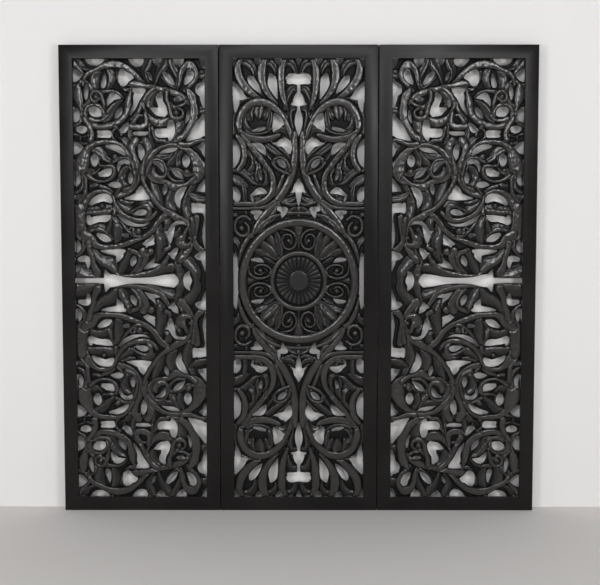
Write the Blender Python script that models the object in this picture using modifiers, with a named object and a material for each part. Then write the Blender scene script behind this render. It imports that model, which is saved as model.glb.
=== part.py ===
"""Carved wall panel of three framed leaves, hung on the wall by the back of its top rails.

World frame: metres, +X to the right, +Z up, the front faces -Y, the back of the frames is the plane y = 0.
The origin is the middle of the centre leaf's top rail, on its back face.
"""
import math

import bmesh
import bpy
import numpy as np
from mathutils import Matrix

# Driving dimensions, metres
LEAF_WIDTH = 0.406
LEAF_HEIGHT = 1.200
LEAF_SPACE = 0.0015          # air between neighbouring leaves
MEMBER_WIDTH = 0.035         # face width of a stile or rail
FRAME_DEPTH = 0.024
LIP_DEPTH = 0.0055           # wood left in front of the rebate
REBATE_WIDTH = 0.0075        # how far the rebate reaches under the lip
EDGE_ROUND = 0.0015
BOARD_THICKNESS = 0.013
FIT_GAP = 0.0003             # clearance between touching pieces

# Places that follow from them
LEAF_TOP = MEMBER_WIDTH / 2
OPENING_MIDDLE = LEAF_TOP - LEAF_HEIGHT / 2
BOARD_FRONT = -FRAME_DEPTH + LIP_DEPTH + FIT_GAP
BOARD_BACK = BOARD_FRONT + BOARD_THICKNESS

# Carving, millimetres, measured across from the opening's outer edge and down from its top edge
MM = 0.001
OPENING_WIDTH = (LEAF_WIDTH - 2 * MEMBER_WIDTH) / MM
OPENING_HEIGHT = (LEAF_HEIGHT - 2 * MEMBER_WIDTH) / MM
HALF_HEIGHT = OPENING_HEIGHT / 2
HALF_WIDTH = OPENING_WIDTH / 2
TONGUE = 6.8                 # the board's edge, hidden in the rebate
BORDER_START = 3.0           # openings reach this far into it
GRID_STEP = 2.0              # spacing at which the carving's outline is found
OUTLINE_TOLERANCE = 3.0      # how far a straight run may leave the outline
SMALLEST_OPENING = 200.0     # square millimetres; smaller ones are left uncut

# Medallion, millimetres
MEDALLION_SQUEEZE = 0.956    # the medallion is this much narrower than it is high
RING_RADIUS = 152.0
RING_WIDTH = 24.0
RING_RISE = 3.5
RING_SIDES = 32
INNER_RING_RADIUS = 71.6
INNER_RING_WIDTH = 14.6
INNER_RING_RISE = 4.0
ROSETTE_RADIUS = 62.0
ROSETTE_FLUTES = 22
ROSETTE_RISE = 2.4
FLUTE_DEPTH = 1.4
HUB_RADIUS = 26.0
HUB_RISE = 3.6
SEAT = 1.0                   # how deep the raised carving is rooted in the board
STEP_BACK = 1.0              # how far inside the board's edges it stands

# Each opening is drawn as a stroke: a name, then (across, down, width) in millimetres at the places
# where it turns or swells. A smooth curve joins the places; the board is what the openings leave.
# Half of a side leaf, across from the outer edge and down from the top
SIDE_OPENINGS = [
    ("top_a", (34, -3, 12), (45, 2, 22), (58, 3, 24), (70, 0, 17), (78, -4, 8)),
    ("top_b", (146, -5, 16), (155, 2, 22), (165, 5, 26), (172, -2, 16)),
    ("top_c", (214, -8, 30), (214, 0, 23), (213, 8, 12), (213, 14, 4)),
    ("top_d", (268, -8, 32), (269, 2, 25), (271, 10, 13), (272, 16, 5)),
    ("top_e", (332, -4, 22), (332, 8, 18), (334, 18, 7)),
    ("outer_a", (-2, 40, 36), (7, 40, 25), (15, 39, 12), (21, 38, 4)),
    ("slot_a", (79, 36, 5), (78, 48, 12), (76, 60, 15), (75, 65, 14)),
    ("eye_a", (123, 34, 18), (127, 42, 29), (127, 52, 27), (128, 62, 11), (131, 54, 16), (138, 44, 22),
     (149, 45, 9)),
    ("drop_a", (191, 34, 5), (195, 42, 10), (198, 50, 6)),
    ("drop_b", (233, 36, 12), (240, 44, 16), (248, 54, 14), (256, 62, 6)),
    ("eye_b", (298, 34, 18), (297, 42, 20), (291, 52, 17), (285, 60, 7)),
    ("inner_a", (335, 54, 8), (331, 64, 18), (325, 74, 30), (330, 86, 20), (332, 100, 18),
     (334, 116, 12)),
    ("slot_b", (35, 64, 6), (33, 74, 11), (31, 86, 12), (31, 95, 9), (31, 100, 4)),
    ("half_moon_a", (85, 116, 3), (88, 108, 10), (93, 100, 17), (99, 93, 18), (109, 94, 13),
     (119, 97, 4)),
    ("horn_a", (153, 76, 9), (160, 79, 15), (170, 79, 16), (180, 77, 8), (170, 84, 18), (162, 92, 22),
     (159, 105, 15), (155, 118, 11), (150, 128, 8), (144, 139, 3)),
    ("swan_a", (223, 86, 8), (218, 97, 18), (221, 108, 16), (225, 119, 20), (226, 130, 25),
     (216, 131, 22), (206, 127, 13), (197, 124, 4)),
    ("swan_b", (231, 134, 18), (230, 138, 14)),
    ("slit_a", (259, 100, 8), (268, 101, 11), (276, 99, 6)),
    ("outer_b", (3, 124, 8), (6, 136, 20), (6, 146, 18), (2, 155, 8)),
    ("eye_c", (47, 130, 20), (54, 132, 26), (61, 135, 20)),
    ("leaf_slot_a", (122, 122, 5), (117, 131, 13), (111, 140, 13), (105, 147, 5)),
    ("slot_c", (292, 128, 4), (292, 138, 9), (290, 150, 9), (285, 160, 4)),
    ("sail_a", (332, 142, 10), (329, 156, 20), (324, 170, 30), (318, 182, 34), (308, 190, 24),
     (298, 198, 14), (289, 205, 5)),
    ("sail_b", (332, 160, 14), (332, 186, 16)),
    ("outer_c", (10, 176, 13), (20, 177, 20), (27, 176, 13)),
    ("tile_a", (61, 183, 8), (89, 183, 8), (90, 193, 9), (75, 193, 10), (61, 193, 8)),
    ("tile_b", (66, 188, 14), (85, 188, 14)),
    ("drop_c", (137, 163, 9), (131, 171, 16), (125, 178, 17), (117, 178, 7)),
    ("cup_a", (153, 187, 9), (165, 187, 11), (178, 187, 11), (187, 185, 7)),
    ("boot_a", (249, 160, 14), (248, 172, 21), (248, 184, 21), (246, 196, 14), (244, 204, 5)),
    ("boot_b", (240, 185, 22), (227, 186, 24), (216, 186, 20), (212, 180, 12)),
    ("outer_d", (-1, 224, 34), (7, 223, 26), (14, 222, 15), (20, 222, 5)),
    ("brow_a", (81, 220, 5), (92, 221, 12), (104, 223, 15), (116, 229, 15), (125, 236, 11),
     (131, 242, 4)),
    ("blade_a", (169, 216, 5), (170, 226, 15), (171, 236, 17), (171, 246, 12), (171, 254, 3)),
    ("brow_b", (219, 237, 3), (230, 233, 9), (242, 230, 12), (254, 228, 10), (263, 225, 4)),
    ("inner_b", (317, 221, 5), (326, 222, 16), (333, 222, 22), (334, 236, 14), (335, 245, 5)),
    ("eye_d", (51, 243, 10), (51, 252, 21), (50, 261, 18), (52, 268, 7)),
    ("arch_a", (111, 284, 3), (112, 272, 9), (117, 263, 11), (127, 258, 11), (137, 261, 10),
     (142, 269, 4)),
    ("arch_b", (205, 261, 6), (214, 264, 11), (221, 270, 13), (226, 279, 9), (227, 285, 3)),
    ("eye_e", (286, 245, 9), (286, 255, 20), (286, 263, 17), (287, 271, 5)),
    ("eye_f", (65, 291, 12), (75, 288, 18), (84, 286, 20), (91, 280, 9)),
    ("blade_b", (252, 280, 9), (261, 287, 15), (269, 294, 12), (278, 302, 3)),
    ("outer_e", (5, 286, 6), (8, 297, 12), (8, 308, 13), (4, 319, 7)),
    ("eye_g", (143, 290, 8), (143, 300, 14), (142, 309, 11)),
    ("slit_b", (40, 320, 6), (48, 319, 9), (57, 317, 5)),
    ("lens_a", (87, 318, 5), (98, 317, 14), (108, 318, 16), (116, 320, 7)),
    ("outer_f", (2, 351, 11), (10, 348, 10), (15, 345, 5)),
    ("tent_a", (170, 320, 3), (169, 331, 17), (168, 342, 28)),
    ("tent_b", (128, 353, 4), (144, 351, 12), (158, 348, 19), (170, 346, 24), (182, 349, 14),
     (190, 353, 4)),
    ("kidney_a", (40, 368, 7), (49, 359, 16), (60, 353, 20), (72, 350, 20), (82, 352, 20),
     (90, 359, 12)),
    ("drop_d", (234, 320, 7), (231, 330, 13), (229, 341, 5)),
    ("crescent_a", (286, 324, 3), (276, 332, 14), (268, 343, 20), (264, 354, 17), (265, 366, 12),
     (268, 377, 3)),
    ("inner_c", (314, 333, 4), (322, 327, 14), (330, 318, 15), (335, 306, 8)),
    ("inner_d", (326, 330, 12), (336, 330, 14)),
    ("window_a", (303, 367, 8), (303, 386, 8), (312, 377, 24), (326, 378, 24), (338, 380, 22)),
    ("window_b", (332, 388, 10), (334, 400, 6), (333, 412, 6), (332, 430, 9), (331, 448, 10),
     (332, 466, 8), (335, 482, 4)),
    ("cap_a", (152, 393, 4), (162, 390, 13), (173, 388, 16), (180, 388, 9)),
    ("bone_a", (34, 401, 11), (35, 414, 14), (47, 408, 18), (62, 405, 16), (76, 404, 18), (85, 401, 12),
     (90, 397, 4)),
    ("smile_a", (110, 396, 6), (119, 405, 9), (131, 413, 11), (145, 419, 10), (160, 422, 7),
     (176, 421, 6), (192, 414, 2)),
    ("drop_e", (148, 430, 4), (151, 438, 8), (150, 445, 4)),
    ("eye_h", (124, 447, 10), (131, 448, 12)),
    ("boot_c", (57, 446, 10), (66, 451, 16), (76, 456, 18), (87, 460, 8)),
    ("outer_g", (5, 461, 5), (7, 472, 12), (7, 482, 11), (3, 491, 5)),
    ("sail_c", (201, 447, 4), (196, 458, 13), (190, 465, 18), (180, 469, 12), (173, 470, 4)),
    ("sail_d", (182, 477, 5), (186, 470, 12), (199, 468, 8)),
    ("hook_a", (285, 421, 3), (275, 415, 8), (263, 415, 9), (253, 421, 10), (248, 432, 14),
     (244, 444, 18), (243, 456, 13), (243, 467, 5)),
    ("hook_b", (231, 439, 5), (240, 443, 12)),
    ("tee_a", (64, 488, 4), (80, 490, 11), (95, 491, 14), (110, 492, 18), (124, 488, 8)),
    ("tee_b", (112, 499, 20), (108, 509, 12), (104, 518, 3)),
    ("drop_f", (261, 482, 6), (254, 491, 16), (250, 499, 15), (252, 508, 4), (248, 498, 12),
     (238, 495, 4)),
    ("inner_e", (308, 503, 5), (318, 502, 18), (329, 501, 26), (338, 502, 26)),
    ("inner_f", (331, 514, 16), (333, 530, 8), (335, 543, 3)),
    ("outer_h", (8, 510, 12), (20, 508, 16), (28, 510, 16), (30, 520, 13), (30, 529, 7)),
    ("eye_i", (151, 505, 9), (148, 514, 16), (144, 523, 10)),
    ("flame_a", (203, 506, 3), (198, 516, 10), (192, 524, 14), (184, 530, 9), (177, 535, 3)),
    ("flame_b", (194, 527, 8), (204, 525, 9), (215, 523, 3)),
    ("bow_a", (-10, 567, 18), (40, 567, 17), (68, 567, 19)),
    ("bow_b", (75, 538, 5), (78, 548, 13), (83, 560, 25), (95, 567, 36), (112, 567, 28), (130, 567, 21),
     (165, 567, 19), (200, 567, 24), (228, 567, 34), (246, 567, 38)),
    ("bow_c", (240, 556, 12), (252, 553, 10), (252, 572, 12)),
    ("foot_a", (292, 541, 5), (287, 551, 14), (287, 562, 22), (288, 572, 26)),
]

# A quarter of the centre leaf, across from its edge to its middle line and down from the top
CENTRE_OPENINGS = [
    ("notch_a", (2, -8, 26), (3, 1, 16), (3, 9, 9), (1, 16, 4)),
    ("notch_b", (63, -8, 22), (63, 2, 17), (63, 8, 9)),
    ("notch_c", (116, -8, 24), (116, 2, 17), (117, 9, 9), (118, 13, 4)),
    ("notch_d", (168, -8, 20), (168, 4, 12), (168, 12, 6)),
    ("crown_a", (42, 43, 9), (47, 52, 19), (56, 64, 18), (64, 75, 12), (71, 84, 4)),
    ("crown_b", (96, 37, 8), (100, 48, 20), (101, 60, 24), (105, 76, 17), (110, 90, 9), (113, 99, 3)),
    ("crown_c", (143, 47, 12), (149, 47, 26), (159, 49, 27), (169, 50, 27)),
    ("crown_d", (139, 58, 5), (146, 57, 11), (154, 56, 10)),
    ("neck_a", (168, 56, 8), (168, 84, 8)),
    ("heart_a", (168, 84, 10), (167, 96, 22), (166, 105, 26)),
    ("heart_b", (151, 112, 7), (160, 110, 12), (169, 111, 12)),
    ("lens_a", (168, 114, 5), (168, 130, 10), (168, 142, 17), (168, 158, 20), (168, 172, 15),
     (168, 184, 8), (168, 192, 3)),
    ("scroll_a", (107, 138, 5), (112, 150, 20), (115, 160, 26), (108, 171, 16), (104, 182, 4)),
    ("scroll_b", (118, 162, 16), (127, 162, 9)),
    ("cup_a", (53, 180, 7), (66, 177, 11), (79, 173, 8)),
    ("eye_a", (40, 141, 6), (40, 149, 10)),
    ("corner_a", (2, 58, 5), (7, 74, 20), (13, 87, 28), (22, 93, 18), (34, 97, 5)),
    ("corner_b", (8, 98, 18), (8, 114, 14), (5, 131, 6)),
    ("kite_a", (49, 214, 5), (61, 217, 13), (70, 222, 18), (77, 231, 14), (83, 241, 3)),
    ("kite_b", (103, 213, 3), (116, 213, 12), (129, 210, 23), (138, 216, 24), (142, 228, 16),
     (144, 238, 5)),
    ("kite_c", (133, 200, 9), (134, 210, 20)),
    ("eye_b", (117, 257, 9), (124, 263, 15), (131, 270, 11)),
    ("outer_a", (1, 205, 6), (4, 220, 22), (5, 238, 26), (4, 256, 20), (0, 271, 8)),
    ("eye_c", (67, 286, 7), (69, 296, 10), (71, 304, 4)),
    ("eye_d", (44, 295, 6), (50, 288, 6)),
    ("outer_b", (4, 328, 10), (6, 340, 23), (9, 352, 18), (8, 356, 12)),
    ("leaf_gap", (46, 345, 6), (57, 339, 12), (67, 333, 17), (77, 335, 13), (84, 338, 6)),
    ("leaf_gap_b", (46, 345, 6), (48, 354, 7), (52, 363, 3)),
    ("fleur_a", (168, 302, 4), (167, 313, 12), (165, 323, 20), (157, 332, 9), (147, 340, 3)),
    ("fleur_b", (168, 324, 18), (168, 342, 15), (168, 356, 10), (168, 371, 3)),
    ("tri_a", (116, 381, 8), (127, 381, 15), (136, 381, 9), (129, 389, 14), (126, 401, 4)),
    ("tri_b", (117, 376, 8), (117, 362, 5)),
    ("tri_c", (47, 388, 7), (59, 390, 13), (71, 388, 7), (59, 397, 13), (58, 407, 3)),
    ("outer_c", (5, 494, 5), (4, 509, 11), (4, 530, 14), (4, 570, 14)),
    ("fan_gap", (48, 511, 6), (57, 510, 11), (67, 512, 11), (77, 517, 4)),
]

# ---------------------------------------------------------------- small helpers

def clear_scene():
    for item in list(bpy.data.objects):
        bpy.data.objects.remove(item, do_unlink=True)


def new_collection(name):
    group = bpy.data.collections.new(name)
    bpy.context.scene.collection.children.link(group)
    return group


def painted_wood(name, colour, roughness):
    material = bpy.data.materials.new(name)
    material.use_nodes = True
    shader = material.node_tree.nodes["Principled BSDF"]
    shader.inputs["Base Color"].default_value = (*colour, 1.0)
    shader.inputs["Roughness"].default_value = roughness
    shader.inputs["Metallic"].default_value = 0.0
    return material


def add_object(name, mesh, group, material):
    item = bpy.data.objects.new(name, mesh)
    item.data.materials.clear()
    item.data.materials.append(material)
    group.objects.link(item)
    return item


# ---------------------------------------------------------------- outline of the carving

def smooth_run(points, step=3.0):
    """A Catmull-Rom curve through (across, down, width) points."""
    run = np.array(points, dtype=float)
    run = np.vstack([2 * run[0] - run[1], run, 2 * run[-1] - run[-2]])
    pieces = []
    for before, start, end, after in zip(run[:-3], run[1:-2], run[2:-1], run[3:]):
        count = max(2, math.ceil(math.dist(start[:2], end[:2]) / step))
        t = np.linspace(0.0, 1.0, count, endpoint=False)[:, None]
        pieces.append(0.5 * (2 * start + (end - before) * t
                             + (2 * before - 5 * start + 4 * end - after) * t ** 2
                             + (3 * start - before - 3 * end + after) * t ** 3))
    pieces.append(run[-2:-1])
    return np.vstack(pieces)


def cut_depth(openings, across, down):
    """How deep each place lies inside the openings, negative outside them."""
    depth = np.full(across.shape, -99.0)
    for _name, *places in openings:
        run = smooth_run(places)
        for start, end in zip(run[:-1], run[1:]):
            reach = max(start[2], end[2]) / 2 + 8.0
            near = ((across > min(start[0], end[0]) - reach) & (across < max(start[0], end[0]) + reach)
                    & (down > min(start[1], end[1]) - reach) & (down < max(start[1], end[1]) + reach))
            x = across[near] - start[0]
            y = down[near] - start[1]
            along = end[:2] - start[:2]
            t = np.clip((x * along[0] + y * along[1]) / (along @ along + 1e-9), 0.0, 1.0)
            distance = np.hypot(x - t * along[0], y - t * along[1])
            inside = (start[2] + (end[2] - start[2]) * t) / 2 - distance
            depth[near] = np.maximum(depth[near], inside)
    return depth


def positive_loops(left, right, top, bottom, depth_at):
    """Boundary loops, as (across, down) lists, of the places in a rectangle where depth_at is positive."""
    columns = round((right - left) / GRID_STEP)
    rows = round((bottom - top) / GRID_STEP)
    across, down = np.meshgrid(np.linspace(left, right, columns + 1), np.linspace(top, bottom, rows + 1))
    depth = depth_at(across, down)
    bm = bmesh.new()
    bmesh.ops.create_grid(bm, x_segments=columns, y_segments=rows, size=1.0)
    for vert, place in zip(bm.verts, zip(across.ravel(), down.ravel(), depth.ravel())):
        vert.co = place
    bmesh.ops.bisect_plane(bm, geom=bm.verts[:] + bm.edges[:] + bm.faces[:], dist=1e-6,
                           plane_co=(0, 0, 0), plane_no=(0, 0, 1), clear_inner=True)
    bmesh.ops.remove_doubles(bm, verts=bm.verts[:], dist=0.01)
    beside = {}
    for edge in bm.edges:
        if edge.is_boundary:
            first, second = edge.verts
            beside.setdefault(first, []).append(second)
            beside.setdefault(second, []).append(first)
    loops = []
    while beside:
        vert = next(iter(beside))
        loop = []
        while vert is not None:
            loop.append((vert.co.x, vert.co.y))
            neighbours = beside.pop(vert)
            vert = next((other for other in neighbours if other in beside), None)
        loops.append(loop)
    bm.free()
    return loops


def loop_area(loop):
    return sum(x0 * y1 - x1 * y0 for (x0, y0), (x1, y1) in zip(loop, loop[1:] + loop[:1])) / 2


def fewer_points(run, tolerance):
    """The points of an open run that keep it within the tolerance (Douglas-Peucker)."""
    if len(run) < 3:
        return run
    points = np.array(run)
    chord = points[-1] - points[0]
    offset = points - points[0]
    length = np.hypot(*chord)
    if length < 1e-6:
        away = np.hypot(offset[:, 0], offset[:, 1])
    else:
        away = np.abs(offset[:, 0] * chord[1] - offset[:, 1] * chord[0]) / length
    widest = int(away.argmax())
    if away[widest] < tolerance:
        return [run[0], run[-1]]
    return fewer_points(run[:widest + 1], tolerance)[:-1] + fewer_points(run[widest:], tolerance)


def tidy_loop(loop):
    """A closed loop with only the points its shape needs, starting at a corner of its box."""
    start = loop.index(min(loop, key=lambda p: p[0] + 0.31 * p[1]))
    turned = loop[start:] + loop[:start]
    far = turned.index(max(turned, key=lambda p: math.dist(p, turned[0])))
    first = fewer_points(turned[:far + 1], OUTLINE_TOLERANCE)
    second = fewer_points(turned[far:] + turned[:1], OUTLINE_TOLERANCE)
    return first[:-1] + second[:-1]


def carving_loops(left, right, top, bottom, depth_at):
    """The outline of a carved board and its openings, without the ones too small to cut."""
    loops = positive_loops(left, right, top, bottom, depth_at)
    return [tidy_loop(loop) for loop in loops if abs(loop_area(loop)) > SMALLEST_OPENING]


# ---------------------------------------------------------------- solids

def filled_outline(name, loops, half_thickness):
    """A 2D curve with holes, filled on both faces, as a welded mesh about z = 0."""
    curve = bpy.data.curves.new(name, "CURVE")
    curve.dimensions = "2D"
    curve.fill_mode = "BOTH"
    curve.extrude = half_thickness
    for loop in loops:
        spline = curve.splines.new("POLY")
        spline.points.add(len(loop) - 1)
        for point, (x, y) in zip(spline.points, loop):
            point.co = (x, y, 0.0, 1.0)
        spline.use_cyclic_u = True
    guide = bpy.data.objects.new(name, curve)
    bpy.context.scene.collection.objects.link(guide)
    depsgraph = bpy.context.evaluated_depsgraph_get()
    mesh = bpy.data.meshes.new_from_object(guide.evaluated_get(depsgraph))
    bpy.data.objects.remove(guide, do_unlink=True)
    bm = bmesh.new()
    bm.from_mesh(mesh)
    bmesh.ops.remove_doubles(bm, verts=bm.verts[:], dist=1e-6)
    caps = [face for face in bm.faces if len({round(vert.co.z, 6) for vert in face.verts}) == 1]
    inside_caps = [edge for edge in bm.edges if set(caps).issuperset(edge.link_faces)]
    bmesh.ops.beautify_fill(bm, faces=caps, edges=inside_caps, method="ANGLE")
    bmesh.ops.recalc_face_normals(bm, faces=bm.faces[:])
    bm.to_mesh(mesh)
    bm.free()
    mesh.name = name
    return mesh


def board_mesh(name, loops):
    """A carved board standing behind the lips, from loops of (x, z) points."""
    mesh = filled_outline(name, loops, BOARD_THICKNESS / 2)
    mesh.transform(Matrix.Rotation(math.radians(90), 4, "X"))
    mesh.transform(Matrix.Translation((0, (BOARD_FRONT + BOARD_BACK) / 2, 0)))
    return mesh


def turned(name, profile, sides, shape=None):
    """A solid turned about the Y axis from (radius, y) points, squeezed to the medallion's oval."""
    bm = bmesh.new()
    verts = [bm.verts.new((radius, y, 0.0)) for radius, y in profile]
    pairs = zip(verts, verts[1:] + verts[:1])
    edges = [bm.edges.new(pair) for pair in pairs if pair[0].co.x + pair[1].co.x > 0]
    bmesh.ops.spin(bm, geom=verts + edges, cent=(0, 0, 0), axis=(0, 1, 0), angle=math.tau,
                   steps=sides, use_merge=True)
    bmesh.ops.remove_doubles(bm, verts=bm.verts[:], dist=1e-6)
    if shape:
        for vert in bm.verts:
            shape(vert)
    bmesh.ops.scale(bm, vec=(MEDALLION_SQUEEZE, 1.0, 1.0), verts=bm.verts)
    bmesh.ops.recalc_face_normals(bm, faces=bm.faces[:])
    mesh = bpy.data.meshes.new(name)
    bm.to_mesh(mesh)
    bm.free()
    return mesh


# ---------------------------------------------------------------- the frames

def corner_arc(centre, start, end, steps=2):
    """Points of a round edge about a centre, from one angle to another in degrees."""
    angles = [math.radians(start + (end - start) * step / steps) for step in range(steps + 1)]
    return [(centre[0] + EDGE_ROUND * math.cos(a), centre[1] + EDGE_ROUND * math.sin(a)) for a in angles]


def member_mesh(name, length):
    """A rebated frame member along Z, its outer edge at x = 0 and its ends mitred."""
    front = -FRAME_DEPTH
    behind_lip = front + LIP_DEPTH
    rebate = MEMBER_WIDTH - REBATE_WIDTH
    section = [(0.0, 0.0)]
    section += corner_arc((EDGE_ROUND, front + EDGE_ROUND), 180, 270)
    section += corner_arc((MEMBER_WIDTH - EDGE_ROUND, front + EDGE_ROUND), 270, 360)
    section += [(MEMBER_WIDTH, behind_lip), (rebate, behind_lip), (rebate, 0.0)]
    mesh = filled_outline(name, [section], length / 2)
    for vert in mesh.vertices:
        half = length / 2 - vert.co.x - FIT_GAP / 2
        vert.co.z = math.copysign(half, vert.co.z)
    return mesh


def frame_leaf(side, middle, group, paint):
    """The four members of one leaf, whose middle line stands at x = middle."""
    stile = member_mesh("stile", LEAF_HEIGHT)
    rail = member_mesh("rail", LEAF_WIDTH)
    half = LEAF_WIDTH / 2
    mid_height = LEAF_TOP - LEAF_HEIGHT / 2
    places = {
        "left_stile": (stile, (middle - half, 0, mid_height), 0),
        "right_stile": (stile, (middle + half, 0, mid_height), 180),
        "top_rail": (rail, (middle, 0, LEAF_TOP), 90),
        "bottom_rail": (rail, (middle, 0, LEAF_TOP - LEAF_HEIGHT), -90),
    }
    for part, (mesh, location, turn) in places.items():
        member = add_object(f"{side}_{part}", mesh, group, paint)
        member.location = location
        member.rotation_euler = (0, math.radians(turn), 0)


# ---------------------------------------------------------------- the carved boards

def border_depth(across, down):
    """The plain border round the opening, hidden in the rebate."""
    return np.maximum(np.maximum(-across, across - OPENING_WIDTH), -down) - BORDER_START


def side_depth(across, down):
    """How far each place of a side board lies inside the wood."""
    return np.maximum(-cut_depth(SIDE_OPENINGS, across, down), border_depth(across, down))


def centre_depth(across, down):
    """The same for the centre board, a quarter of which is drawn."""
    return np.maximum(-cut_depth(CENTRE_OPENINGS, across, down), border_depth(across, down))


def side_boards(group, paint):
    """Four copies of one carved half: turned over for the right leaf and for the lower halves."""
    lowest = HALF_HEIGHT - FIT_GAP / MM / 2
    loops = carving_loops(-TONGUE, OPENING_WIDTH + TONGUE, -TONGUE, lowest, side_depth)
    for side, across_way in (("left", 1), ("right", -1)):
        outer_edge = -across_way * (LEAF_WIDTH + LEAF_SPACE + HALF_WIDTH * MM)
        for level, down_way in (("upper", 1), ("lower", -1)):
            start = OPENING_MIDDLE + down_way * HALF_HEIGHT * MM
            outline = [[(outer_edge + across_way * across * MM, start - down_way * down * MM)
                        for across, down in loop] for loop in loops]
            mesh = board_mesh(f"{side}_{level}_carving", outline)
            add_object(f"{side}_{level}_carving", mesh, group, paint)


def centre_board(group, guides, paint):
    """A quarter of the board mirrored both ways, with the medallion raised on it."""
    past = 2.0
    loops = carving_loops(-TONGUE, HALF_WIDTH + past, -TONGUE, HALF_HEIGHT + past, centre_depth)
    outline = [[((HALF_WIDTH - across) * MM, (HALF_HEIGHT - down) * MM)
                for across, down in loop] for loop in loops]
    board = add_object("centre_carving", board_mesh("centre_carving", outline), group, paint)
    board.location = (0, 0, OPENING_MIDDLE)
    mirror = board.modifiers.new("four quarters", "MIRROR")
    mirror.use_axis = (True, False, True)
    mirror.use_bisect_axis = (True, False, True)
    mirror.merge_threshold = 0.00002
    for name, mesh in (("outer ring", ring_mesh()), ("rosette", rosette_mesh())):
        raised = add_object(name, mesh, guides, paint)
        raised.location = board.location
        raised.hide_render = True
        raised.display_type = "WIRE"
        union = board.modifiers.new(name, "BOOLEAN")
        union.operation = "UNION"
        union.solver = "EXACT"
        union.object = raised


def ring_mesh():
    """The medallion's half-round outer ring."""
    inner = (RING_RADIUS - RING_WIDTH / 2 + STEP_BACK) * MM
    outer = (RING_RADIUS + RING_WIDTH / 2 - STEP_BACK) * MM
    inset = 0.3 * RING_WIDTH * MM
    seat = BOARD_FRONT + SEAT * MM
    crest = BOARD_FRONT - RING_RISE * MM
    profile = [(inner, seat), (inner + inset, crest), (outer - inset, crest), (outer, seat)]
    return turned("outer ring", profile, RING_SIDES)


def rosette_mesh():
    """The medallion's middle: a hub, a ring of flutes and a half-round rim."""
    rim = INNER_RING_RADIUS * MM
    rim_half = (INNER_RING_WIDTH / 2 - STEP_BACK) * MM
    seat = BOARD_FRONT + SEAT * MM
    petals = BOARD_FRONT - ROSETTE_RISE * MM
    profile = [(0.0, BOARD_FRONT - HUB_RISE * MM), (0.8 * HUB_RADIUS * MM, BOARD_FRONT - HUB_RISE * MM),
               (HUB_RADIUS * MM, petals), (ROSETTE_RADIUS * MM, petals),
               (rim, BOARD_FRONT - INNER_RING_RISE * MM), (rim + rim_half, seat), (0.0, seat)]

    def flute(vert):
        radius = math.hypot(vert.co.x, vert.co.z)
        if abs(vert.co.y - petals) < 1e-6 and radius > 0.9 * HUB_RADIUS * MM:
            turn = math.atan2(vert.co.z, vert.co.x) / math.tau * 2 * ROSETTE_FLUTES
            if round(turn) % 2:
                vert.co.y += FLUTE_DEPTH * MM

    return turned("rosette", profile, 2 * ROSETTE_FLUTES, flute)


# ---------------------------------------------------------------- assembly

def main():
    clear_scene()
    panel = new_collection("wooden wall panel")
    guides = new_collection("raised carving")
    frame_paint = painted_wood("black painted frame", (0.030, 0.027, 0.026), 0.42)
    carving_paint = painted_wood("black painted carving", (0.022, 0.020, 0.019), 0.36)
    for side, middle in (("left", -1), ("centre", 0), ("right", 1)):
        frame_leaf(side, middle * (LEAF_WIDTH + LEAF_SPACE), panel, frame_paint)
    side_boards(panel, carving_paint)
    centre_board(panel, guides, carving_paint)


main()
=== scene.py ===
import math

import bmesh
import bpy
import numpy as np
from mathutils import Matrix, Vector, noise


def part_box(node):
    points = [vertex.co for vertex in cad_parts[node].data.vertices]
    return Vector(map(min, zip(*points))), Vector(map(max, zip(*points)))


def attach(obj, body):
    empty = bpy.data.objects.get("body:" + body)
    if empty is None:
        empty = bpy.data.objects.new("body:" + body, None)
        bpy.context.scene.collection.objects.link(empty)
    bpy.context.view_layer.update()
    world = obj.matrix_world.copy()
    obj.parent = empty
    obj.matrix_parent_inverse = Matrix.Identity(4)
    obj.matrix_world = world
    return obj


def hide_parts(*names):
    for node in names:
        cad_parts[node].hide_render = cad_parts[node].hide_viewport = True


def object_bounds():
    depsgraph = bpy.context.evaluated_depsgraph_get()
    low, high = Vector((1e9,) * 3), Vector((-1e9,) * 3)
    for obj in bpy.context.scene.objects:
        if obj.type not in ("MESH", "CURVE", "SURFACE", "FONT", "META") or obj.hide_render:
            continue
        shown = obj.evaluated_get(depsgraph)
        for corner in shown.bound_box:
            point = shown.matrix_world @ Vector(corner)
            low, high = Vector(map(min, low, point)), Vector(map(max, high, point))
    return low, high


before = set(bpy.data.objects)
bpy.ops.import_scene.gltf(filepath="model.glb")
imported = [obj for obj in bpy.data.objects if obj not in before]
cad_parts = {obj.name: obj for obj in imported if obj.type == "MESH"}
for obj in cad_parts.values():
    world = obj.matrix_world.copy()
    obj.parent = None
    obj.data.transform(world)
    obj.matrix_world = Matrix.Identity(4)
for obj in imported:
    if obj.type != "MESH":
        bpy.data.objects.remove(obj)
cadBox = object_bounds()
print("frame loaded,", len(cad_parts), "nodes")

mm = 0.001


def cornerOf(node, end):
    return Vector(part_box(node)[end])


# the three openings share their size, read here off the left leaf
openingWidth = (cornerOf("left_right_stile", 0).x - cornerOf("left_left_stile", 1).x) / mm
openingHeight = (cornerOf("left_top_rail", 0).z - cornerOf("left_bottom_rail", 1).z) / mm
halfWidth = openingWidth / 2
halfHeight = openingHeight / 2
middleHeight = (cornerOf("left_top_rail", 0).z + cornerOf("left_bottom_rail", 1).z) / 2
boardFront = cornerOf("left_upper_carving", 0).y
boardBack = cornerOf("left_upper_carving", 1).y
tongue = (cornerOf("left_left_stile", 1).x - cornerOf("left_upper_carving", 0).x) / mm
borderStart = 3.0  # openings reach this far under the lip
fitGap = 0.3  # mm kept between pieces

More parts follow.
